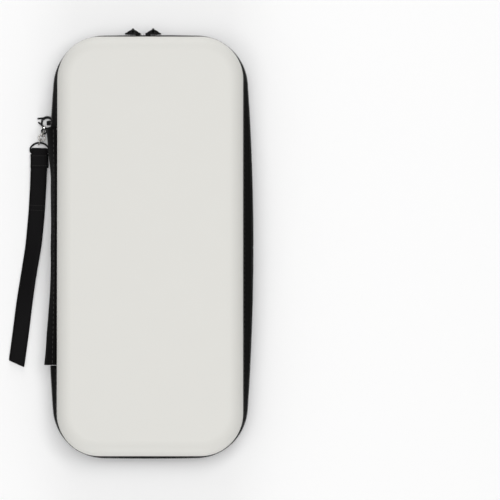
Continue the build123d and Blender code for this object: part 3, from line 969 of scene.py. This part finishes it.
@dataclass
class Cradle:
    """Padded bars and ledges on the floor of the base. Lengths are in metres."""

    padding: Padding = Padding(0.9 * MM, 0.7 * MM)
    sewn_height: float = 1.2 * MM  # the cover is glued down below this
    headroom: float = 0.96  # share of its height at which a pad starts
    unevenness: float = 0.1 * MM

    def build(self) -> None:
        """Makes the four pads."""
        for name in ("cradle_rib_right", "cradle_rib_left", "cradle_ledge_right", "cradle_ledge_left"):
            self._pad(name)

    def _pad(self, node: str) -> None:
        """Makes one pad, blown up inside its cover.

        Args:
            node: CAD node that it stands for.
        """
        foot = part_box(node)[0].z
        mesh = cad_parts[node].data.copy()
        lowered = spots_of(mesh)
        lowered[:, 2] = foot + (lowered[:, 2] - foot) * self.headroom
        mesh.vertices.foreach_set("co", lowered.ravel())
        pad = self.padding.swell(mesh, lambda spots: spots[:, 2] < foot + self.sewn_height)
        spots = spots_of(pad)
        normals = np.array([v.normal for v in pad.vertices])
        spots += normals * (self.unevenness * ripple(spots, 6 * MM, 2.0))[:, None]
        pad.vertices.foreach_set("co", spots.ravel())
        pad.materials.clear()
        # Ribs stand up into the light and get the knit painted paler; the low ledges keep the lining's grey
        pad.materials.append((ROLL if "rib" in node else LINING).material())
        made = place(bpy.data.objects.new(f"{node}_padded", pad), "cradle_cover", "base", (node,))


@dataclass
class HingeSpine:
    """Cloth strip that joins the halves, flaring at its two open ends. Lengths are in metres."""

    half_length: float = 72.6 * MM
    reach: float = 10 * MM
    foot: float = 57.0 * MM
    bulge: float = 3.3 * MM
    slider_flare: float = 2.9 * MM  # toward the sliders' end
    slider_flare_from: float = 42 * MM
    far_flare: float = 3.9 * MM
    far_flare_from: float = 18 * MM
    thickness: float = 0.9 * MM
    columns: int = 141
    rows: int = 33
    girth: float = 2.22  # flat width over the reach, along the arch
    fold_depth: float = 0.35 * MM
    bend: float = 6 * MM  # meant as how far from the parting plane the cloth turns with the lid; nothing reads it
    hem: float = 0.86  # place of each seam, as a share of the reach
    thread: Stitch = Stitch(2.3 * MM, 0.22 * MM, 3.0 * MM)

    def build(self) -> None:
        """Makes the strip and its seams."""
        x = np.linspace(-self.half_length, self.half_length, self.columns)
        z = np.linspace(-self.reach, self.reach, self.rows)
        across, up = np.meshgrid(x, z, indexing="ij")
        ease = (across - self.slider_flare_from) / (self.half_length - self.slider_flare_from)
        far_ease = (-across - self.far_flare_from) / (self.half_length - self.far_flare_from)
        bulge = self.bulge + self.slider_flare * np.clip(ease, 0, 1) ** 1.1
        bulge = bulge + self.far_flare * np.clip(far_ease, 0, 1) ** 1.2
        arch = np.cos(up / self.reach * math.pi / 2) ** 0.9
        spots = np.stack([across, self.foot + self.thickness + bulge * arch, PARTING + up], axis=-1)
        folds = ripple(spots * (0.35, 1.0, 2.2), 5 * MM, 7.0)
        spots[..., 1] += self.fold_depth * folds * arch
        strip = Shape().slab(spots, -self.thickness, np.stack([across, up], axis=-1)).piece(
            "spine_cloth", TAPE, "spine_cloth", None, ("hinge_spine",)
        )
        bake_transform(strip)
        for half in Half:
            row = np.arange(-self.half_length + 2 * MM, self.half_length, self.thread.step)
            hem = int(np.argmin(np.abs(z - half.value * self.hem * self.reach)))
            slope = np.gradient(spots[..., 1], z, axis=1)[:, hem]
            line = np.column_stack([row, np.interp(row, x, spots[:, hem, 1]), np.full(len(row), PARTING + z[hem])])
            facing = unit(np.column_stack([np.zeros(len(row)), np.ones(len(row)), -np.interp(row, x, slope)]))
            self.thread.sew(Shape(), line, facing).piece(
                f"{half.body}_spine_stitches", THREAD, "spine_cloth", half.body
            )


@dataclass
class NetPocket:
    """Net with its elastic hem and edging in the lid. Lengths are in metres."""

    column: float = 3.8 * MM
    row: float = 2.0 * MM
    thread: float = 0.46 * MM
    knot: float = 0.8 * MM
    hem_slant: float = -1.7
    hem_width: float = 8 * MM
    hem_thickness: float = 1.2 * MM
    hem_columns: int = 260
    hem_rows: int = 25
    tuck: float = 0.8 * MM  # how far the net runs under its edging
    sway: float = 0.35 * MM  # unevenness of the net, over waves of the next size
    sway_width: float = 18 * MM
    stitching: Stitch = Stitch(2.2 * MM, 0.2 * MM, 3.2 * MM)

    def build(self) -> None:
        """Makes the net, the hem and the seams."""
        dress(BINDING, "pocket_edging")
        net = self._net()
        hem = self._hem()
        cut = shoelace(plan_outline("pocket_net", 2 * MM))
        self._edging_seam()

    def _net(self) -> bpy.types.Object:
        """Makes the net from single threads between knots.

        Returns:
            The net.
        """
        low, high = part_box("pocket_net")
        border = plan_outline("pocket_net", 2 * MM)
        sides = outward(border)
        level = (low.z + high.z) / 2
        shape = Shape()
        turn = np.radians(np.arange(45, 405, 90))
        section = np.column_stack([np.cos(turn), np.sin(turn)])

        def inside(x: float, y: float) -> bool:
            """Tells whether a knot lies on the pocket, or just under its edging."""
            return bool(np.max(np.sum((np.array((x, y)) - border) * sides, axis=1)) < self.tuck)

        rows = int((high.y - low.y) / self.row) + 2
        columns = int((high.x - low.x) / self.column) + 2
        for j in range(rows):
            for i in range(columns):
                x = low.x + (i + 0.5 * (j % 2)) * self.column
                y = low.y + j * self.row
                if not inside(x, y):
                    continue
                for step in (-0.5, 0.5):
                    far = (x + step * self.column, y + self.row)
                    if not inside(*far):
                        continue
                    ends = np.array(((x, y, level), (*far, level)))
                    line = np.linspace(ends[0], ends[1], 3)
                    line[:, 2] += self.sway * np.array([noise.noise(Vector(p) / self.sway_width) for p in line])
                    line[1, 2] += 0.12 * MM * (1 if step > 0 else -1)
                    along = unit(ends[1] - ends[0])
                    side = np.cross(UP, along)
                    sizes = np.array((self.knot, self.thread, self.knot))
                    rings = line[:, None] + sizes[:, None, None] * (
                        section[None, :, :1] * side + section[None, :, 1:] * UP * 0.7
                    )
                    shape.tube(rings, False)
        net = shape.piece("pocket_net_knit", NET, "net", "lid", ("pocket_net",))
        return net

    def _hem(self) -> bpy.types.Object:
        """Makes the gathered elastic along the net's open edge.

        Returns:
            The elastic.
        """
        low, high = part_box("pocket_hem")
        lean = math.tan(math.radians(self.hem_slant))
        middle = (low.y + high.y) / 2
        x = np.linspace(low.x + 0.6 * MM, high.x - 0.6 * MM, self.hem_columns)
        v = np.linspace(-0.5, 0.5, self.hem_rows) * self.hem_width
        along, across = np.meshgrid(x, v, indexing="ij")
        spots = np.stack([along, middle + along * lean + across, np.full(along.shape, low.z)], axis=-1)
        ribs = 0.14 * MM * np.cos(across / self.hem_width * 2 * math.pi * 5)
        gathers = 0.22 * MM * ripple(spots * (1.0, 0.25, 1.0), 4 * MM, 3.0)
        spots[..., 2] += 0.35 * MM - ribs + gathers
        hem = Shape().slab(spots[:, ::-1], self.hem_thickness, np.stack([along, across], axis=-1)[:, ::-1]).piece(
            "pocket_hem_elastic", ELASTIC, "elastic", "lid", ("pocket_hem",)
        )
        row = np.arange(low.x + 4 * MM, high.x - 4 * MM, self.stitching.step)
        line = at_level(np.column_stack([row, middle + row * lean - 0.2 * self.hem_width]), low.z + 0.15 * MM)
        self.stitching.sew(Shape(), line, -UP).piece("pocket_hem_stitches", PALE_THREAD, "elastic", "lid")
        return hem

    def _edging_seam(self) -> None:
        """Sews the edging down."""
        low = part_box("pocket_edging")[0]
        border = plan_outline("pocket_net", self.stitching.step)
        line = border + outward(border) * 2 * MM
        keep = line[:, 1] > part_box("pocket_hem")[1].y
        shape = Shape()
        self.stitching.lay(shape, at_level(line, low.z)[keep], at_level(tangents(line, True), 0.0)[keep], -UP)
        shape.piece("pocket_edging_stitches", THREAD, "elastic", "lid")


@dataclass
class CardFlap:
    """Padded flap over the console bay, with two rows of card pockets. Lengths are in metres."""

    padding: Padding = Padding(1.4 * MM, 0.6 * MM)
    slack: float = 0.2 * MM  # how far the board's cover starts inside its space
    border: float = 9 * MM
    corner: float = 18 * MM
    pockets: int = 4
    ribs: int = 11
    piping: float = 0.75 * MM  # half its thickness
    zigzag: Stitch = Stitch(2.6 * MM, 0.2 * MM, 1.5 * MM)
    zigzag_inset: float = 4.6 * MM
    wall_seam: Stitch = Stitch(1.3 * MM, 0.22 * MM, 1.7 * MM)
    foot_seam: Stitch = Stitch(1.6 * MM, 0.2 * MM, 2.2 * MM)
    root_step: float = 0.5 * MM
    root_thickness: float = 0.5 * MM

    def build(self) -> None:
        """Makes the flap and all that is sewn to it."""
        self.low, self.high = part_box("flap_binding")
        self.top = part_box("flap_panel")[1].z
        self._panel()
        self._binding()
        for row in ("lower", "upper"):
            self._band(f"{row}_card_band")
        self._root()

    def _outline(self, inset: float) -> np.ndarray:
        """Outline of the flap, drawn in from its edges.

        Args:
            inset: How far it is drawn in.

        Returns:
            Level points, counter-clockwise.
        """
        length = self.high.x - self.low.x - 2 * inset
        width = self.high.y - self.low.y - 2 * inset
        free = max(self.corner - inset, 1 * MM)
        return rounded(length, width, (1 * MM, 1 * MM, free, free), (self.low.y + self.high.y) / 2)

    def _panel(self) -> None:
        """Makes the padded board inside the binding, drawn in under the card pockets."""
        low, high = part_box("flap_panel")
        rings = [at_level(self._outline(5 * MM), z) for z in (low.z + self.slack, high.z - self.slack)]
        shape = Shape()
        shape.tube(np.array(rings), False)
        rim = self._outline(self.border + 1.5 * MM)
        sides = outward(rim)
        boxes = [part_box(f"{row}_card_band") for row in ("lower", "upper")]

        def sewn(spots: np.ndarray) -> np.ndarray:
            """Tells which points are under the binding or under a row of pockets.

            Args:
                spots: Points of the board.

            Returns:
                Whether each one is held.
            """
            reach = np.max(np.einsum("ijk,jk->ij", spots[:, None, :2] - rim, sides), axis=1)
            held = reach > 0
            for first, last in boxes:
                over = np.all((spots[:, :2] > first[:2]) & (spots[:, :2] < last[:2]), axis=1)
                held |= over & (spots[:, 2] > (low.z + high.z) / 2)
            return held

        panel = shape.piece("flap_board_padded", LINING, "flap_cloth", "flap", ("flap_panel",))
        board = self.padding.swell(panel.data, sewn)
        board.materials.clear()
        board.materials.append(LINING.material())
        panel.data = board

    def _free_edge(self, inset: float, step: float) -> np.ndarray:
        """Line along the flap's three free edges.

        Args:
            inset: How far it lies inside them.
            step: Spacing of the points.

        Returns:
            Level points, from the left root to the right root.
        """
        outline = self._outline(inset)
        quarter = len(outline) // 4
        line = outline[2 * quarter :]
        ends = np.array([[line[0, 0], self.high.y], [line[-1, 0], self.high.y]])
        return even(np.vstack([ends[:1], line, ends[1:]]), step, False)

    def _binding(self) -> None:
        """Makes the folded border with its piping and zigzag seam."""
        middle = (self.low.z + self.high.z) / 2
        half = (self.high.z - self.low.z) / 2
        turn = np.radians(np.arange(0, 360, 18))
        side = self.border / 2 * bowed(np.cos(turn), 0.5)
        lift = half * bowed(np.sin(turn), 0.55)
        line = self._free_edge(self.border / 2, 1.5 * MM)
        out = at_level(outward(line, False), 0.0)
        centre = at_level(line, middle)
        slack = 1 + 0.06 * ripple(centre, 5 * MM, 9.0)
        rings = centre[:, None] + out[:, None] * side[None, :, None] + UP * (slack[:, None] * lift)[..., None]
        Shape().tube(rings, False).piece("flap_border", BINDING, "flap_edge", "flap", ("flap_binding",))
        edge = self._free_edge(0.2 * MM, 1.2 * MM)
        away = at_level(outward(edge, False), 0.0)
        round_turn = np.radians(np.arange(0, 360, 36))
        cord = at_level(edge, middle)[:, None] + self.piping * (
            away[:, None] * np.cos(round_turn)[None, :, None] + UP * np.sin(round_turn)[None, :, None]
        )
        Shape().tube(cord, False).piece("flap_piping", PIPING, "flap_edge", "flap")
        sewn = Shape()
        for face in (1, -1):
            row = self._free_edge(self.zigzag_inset, self.zigzag.step)
            aside = outward(row, False) * np.where(np.arange(len(row)) % 2, 1.1, -1.1)[:, None] * MM
            knots = at_level(row + aside, middle + face * (half + 0.02 * MM))
            self.zigzag.lay(sewn, (knots[1:] + knots[:-1]) / 2, unit(knots[1:] - knots[:-1]), face * UP)
        sewn.piece("flap_zigzag", PALE_THREAD, "flap_edge", "flap")

    def _band(self, node: str) -> None:
        """Makes one gathered elastic row of pockets.

        Args:
            node: CAD node that it stands for.
        """
        low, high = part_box(node)
        depth, span = high.y - low.y, high.x - low.x
        x = np.linspace(low.x, high.x, 24 * self.pockets + 1)
        y = np.linspace(low.y, high.y, 10 * self.ribs + 1)
        along, across = np.meshgrid(x, y, indexing="ij")
        share = (along - low.x) / span * self.pockets
        arch = np.abs(np.sin(share * math.pi)) ** 0.6
        open_part = (across - low.y) / depth
        spots = np.stack([along, across, np.full(along.shape, self.top + 0.75 * MM)], axis=-1)
        ribs = np.abs(np.sin(open_part * math.pi * self.ribs)) ** 0.5
        gather = ripple(spots * (0.5, 1.6, 1.0), 4 * MM, 5.0) * open_part**2
        bulge = (0.25 + 0.75 * open_part) * arch
        spots[..., 2] += (0.75 * bulge + 0.5 * ribs + 0.3 * gather * arch) * MM
        spots[..., 1] += (0.9 * (1 - arch) - 0.5) * open_part**3 * MM
        Shape().slab(spots, 0.7 * MM, np.stack([along, across], axis=-1)).piece(
            f"{node}_elastic", POCKET, "elastic", "flap", (node,)
        )
        stitches = Shape()
        rows = np.arange(low.y + 1 * MM, high.y, self.wall_seam.step)
        for wall in np.linspace(low.x, high.x, self.pockets + 1):
            inner = np.clip(wall, low.x + 0.8 * MM, high.x - 0.8 * MM)
            line = np.column_stack([np.full(len(rows), inner), rows, np.full(len(rows), self.top + 1.15 * MM)])
            self.wall_seam.sew(stitches, line, UP)
        foot = np.arange(low.x + 1.5 * MM, high.x, self.foot_seam.step)
        line = at_level(np.column_stack([foot, np.full(len(foot), low.y + 0.7 * MM)]), self.top + 1.2 * MM)
        self.foot_seam.sew(stitches, line, UP)
        stitches.piece(f"{node}_stitches", THREAD, "elastic", "flap")

    def _root(self) -> None:
        """Makes the tape that hangs the flap on the base's rear wall."""
        low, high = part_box("flap_root_tape")
        x = np.linspace(low.x, high.x, 101)
        wall = (low.y + high.y) / 2
        run = np.array(
            [(wall, low.z), (wall, low.z + 4 * MM), (wall - 0.1 * MM, high.z - 1.2 * MM),
             (wall - 0.9 * MM, high.z - 0.25 * MM), (wall - 2.2 * MM, high.z - 0.1 * MM),
             (wall - 6 * MM, high.z - 0.1 * MM)]
        )
        course = even(run, self.root_step, False)
        spots = np.array([[(a, b, c) for b, c in course] for a in x])
        spots[..., 1] -= 0.12 * MM * np.abs(ripple(spots, 6 * MM, 1.0))
        length = np.arange(len(course)) * self.root_step
        flat = np.stack(np.meshgrid(x, length, indexing="ij"), axis=-1)
        tape = Shape().slab(spots, self.root_thickness, flat).piece(
            "flap_root_cloth", TAPE, "spine_cloth", None, ("flap_root_tape",)
        )
        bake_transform(tape)


@dataclass
class WristStrap:
    """Tab, clasp, chain and the doubled strap. Lengths are in metres."""

    width: float = 10.02 * MM
    layer: float = 0.9 * MM
    level: float = 3 * MM
    link_radius: float = 1.9 * MM
    link_wire: float = 0.42 * MM
    chain_angle: float = 158.0
    hook: tuple[float, float] = (77.5 * MM, 64.9 * MM)
    first_link: float = 7.05 * MM
    link_pitch: float = 2.7 * MM
    twist: float = 20.0  # degrees, low enough for the opened lid to pass over it
    end_skew: float = 17.0  # degrees that the strap's folded end is off square
    tab_radius: float = 2.9 * MM
    tab_half: float = 0.5 * MM  # half the tab's thickness
    tab_step: float = 0.4 * MM
    fold_seam: Stitch = Stitch(1.0 * MM, 0.18 * MM)
    fold_seams_at: tuple[int, int] = (34, 37)  # millimetres along the strap
    collar_seam: Stitch = Stitch(1.2 * MM, 0.2 * MM)

    def build(self) -> None:
        """Makes every piece from the tab to the strap's end."""
        dress(ENAMEL, "clasp_body", "clasp_lever", "strap_ring")
        dress(NICKEL, "clasp_pin")
        self._tab()
        self._links()
        self._strap()
        self._collar()

    def _tab(self) -> None:
        """Makes the small woven loop on the back wall."""
        low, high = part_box("strap_tab")
        centre = np.array((high.y - 3.45 * MM, low.z + 3.45 * MM))
        turn = np.radians(np.linspace(186, 390, 40))
        ring = centre + self.tab_radius * np.column_stack([np.cos(turn), np.sin(turn)])
        top = np.array((low.y + 0.7 * MM, high.z - 0.6 * MM))
        course = even(np.vstack([top, ring, top + (0.75 * MM, 0.0)]), self.tab_step, False)
        along = tangents(course, False)
        side = np.column_stack([along[:, 1], -along[:, 0]])
        half = (high.x - low.x) / 2
        middle = (high.x + low.x) / 2
        thick = self.tab_half
        section = np.array([(-1, 0), (-0.9, 0.9), (0, 1), (0.9, 0.9), (1, 0), (0.9, -0.9), (0, -1), (-0.9, -0.9)])
        rings = np.array(
            [[(middle + half * a, p[0] + thick * b * s[0], p[1] + thick * b * s[1]) for a, b in section]
             for p, s in zip(course, side)]
        )
        flat = np.array([[(half * a, i * self.tab_step) for a, _ in section] for i in range(len(course))])
        Shape().tube(rings, False, flat).piece("strap_tab_web", WEBBING, "webbing", "base", ("strap_tab",))

    def _links(self) -> None:
        """Makes the chain of round wire rings."""
        turn = math.radians(self.chain_angle)
        ahead = np.array((math.cos(turn), math.sin(turn), 0.0))
        shape = Shape()
        bend = np.radians(np.linspace(0, 360, 40, endpoint=False))
        wire = np.radians(np.linspace(0, 360, 12, endpoint=False))
        for index in range(3):
            middle = np.array((*self.hook, self.level)) + ahead * (self.first_link + index * self.link_pitch)
            other = UP if index % 2 == 0 else np.cross(UP, ahead)
            spokes = np.cos(bend)[:, None] * ahead + np.sin(bend)[:, None] * other
            axle = np.cross(ahead, other)
            rings = middle + spokes[:, None] * (self.link_radius + self.link_wire * np.cos(wire))[None, :, None]
            shape.tube(rings + axle * (self.link_wire * np.sin(wire))[None, :, None], True)
        shape.piece("chain_wire_links", NICKEL, "silver_metal", "strap", ("chain_links",))

    def _strap(self) -> None:
        """Makes the doubled web, lying beside the case with a slow twist."""
        low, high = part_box("wrist_strap")
        plan = np.array(
            [(high.x / MM - 0.6, 69.8), (57.6, 69.9), (39.0, 70.6), (20.4, 71.7), (1.7, 73.4),
             (-9.5, 75.2), (-20.6, 77.0), (-35.5, 79.2), (-54.2, 81.5), (-71.0, 83.8)]
        ) * MM
        smooth = even(plan, 0.5 * MM, False)
        for _ in range(60):
            smooth[1:-1] = (smooth[:-2] + 2 * smooth[1:-1] + smooth[2:]) / 4
        middle = even(smooth, 1.0 * MM, False)
        run = np.arange(len(middle)) * 1.0 * MM
        roll = np.radians(self.twist) * np.exp(-(((run - 76 * MM) / (26 * MM)) ** 2))
        apart = np.interp(run, np.array((0, 12, 22, 200)) * MM, np.array((1.3, 1.25, 0.6, 0.55)) * MM)
        settle = np.interp(run, np.array((0, 14, 34, 200)) * MM, np.array((3.0, 2.7, 1.2, 1.15)) * MM)
        height = settle + self.width / 2 * np.sin(roll)
        ahead = tangents(at_level(middle, 0.0), False)
        beside = np.cross(UP, ahead)
        across = np.cos(roll)[:, None] * beside + np.sin(roll)[:, None] * UP
        normal = unit(np.cross(ahead, across))
        centre = np.column_stack([middle, height])
        under, over = centre - normal * apart[:, None], centre + normal * apart[:, None]
        fold = np.radians(np.linspace(-80, 80, 9))
        tip = centre[-1] + apart[-1] * (np.cos(fold)[:, None] * ahead[-1] + np.sin(fold)[:, None] * normal[-1])
        loop = centre[0] + apart[0] * (-np.cos(fold)[:, None] * ahead[0] - np.sin(fold)[:, None] * normal[0])
        course = np.vstack([under, tip, over[::-1], loop])
        sides = np.vstack([across, np.tile(across[-1], (9, 1)), across[::-1], np.tile(across[0], (9, 1))])
        thick = unit(np.cross(tangents(course, True), sides))
        edge = np.array((-1, -0.94, -0.6, 0, 0.6, 0.94, 1, 0.94, 0.6, 0, -0.6, -0.94)) * self.width / 2
        face = np.array((0, 0.85, 1, 1, 1, 0.85, 0, -0.85, -1, -1, -1, -0.85)) * self.layer / 2
        rings = course[:, None] + sides[:, None] * edge[None, :, None] + thick[:, None] * face[None, :, None]
        late = np.clip(1 - np.linalg.norm(course - centre[-1], axis=1) / (16 * MM), 0, 1)
        rings += ahead[-1] * (math.tan(math.radians(self.end_skew)) * late[:, None] * edge[None, :])[..., None]
        length = np.concatenate([[0.0], np.cumsum(np.linalg.norm(np.diff(course, axis=0), axis=1))])
        flat = np.stack(np.meshgrid(length, edge, indexing="ij"), axis=-1)[..., ::-1]
        strap = Shape().tube(rings, True, flat).piece(
            "wrist_strap_web", WEBBING, "webbing", "strap", ("wrist_strap",)
        )
        seams = Shape()
        spread = np.linspace(-0.42, 0.42, 8) * self.width
        for index in self.fold_seams_at:
            line = over[index] + across[index] * spread[:, None] + normal[index] * self.layer / 2
            self.fold_seam.sew(seams, line, normal[index])
        seams.piece("strap_stitches", THREAD, "webbing", "strap")

    def _collar(self) -> None:
        """Makes the sewn sleeve that closes the strap at its ring."""
        low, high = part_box("strap_collar")
        middle = (low + high) / 2
        half = (high - low) / 2
        turn = np.radians(np.arange(0, 360, 12))
        side = (half.y - 0.2 * MM) * bowed(np.cos(turn), 0.35)
        lift = (half.z - 0.3 * MM) * bowed(np.sin(turn), 0.55)
        shares = np.array((-1.0, -0.97, -0.85, -0.5, 0.0, 0.5, 0.85, 0.97, 1.0))
        pinch = np.array((0.9, 0.98, 1.0, 0.97, 0.95, 0.97, 1.0, 0.98, 0.9))
        rings = np.array(
            [
                [
                    (middle.x + half.x * s, middle.y + a * (0.5 + 0.5 * p), middle.z + b * p)
                    for a, b in zip(side, lift)
                ]
                for s, p in zip(shares, pinch)
            ]
        )
        around = np.cumsum(np.concatenate([[0.0], np.hypot(np.diff(side), np.diff(lift))]))
        flat = np.array([[(c, half.x * s) for c in around] for s in shares])
        Shape().tube(rings, False, flat).piece(
            "strap_collar_sleeve", WEBBING, "webbing", "strap", ("strap_collar",)
        )
        stitches = Shape()
        spread = np.linspace(-0.66, 0.66, 7) * half.y
        for share in (-0.72, 0.72):
            across = np.column_stack([np.full(7, middle.x + share * half.x), middle.y + spread])
            line = at_level(across, middle.z + half.z - 0.32 * MM)
            self.collar_seam.sew(stitches, line, UP)
        stitches.piece("collar_stitches", THREAD, "webbing", "strap")


def main() -> None:
    """Builds the studio and dresses the case, piece by piece."""
    logging.basicConfig(level=logging.INFO, format="%(message)s")
    for kind in (Studio, Shells, RimRolls, Zip, Cradle, HingeSpine, NetPocket, CardFlap, WristStrap):
        kind().build()
        LOG.info("%s built", kind.__name__)


if __name__ == "__main__":
    main()
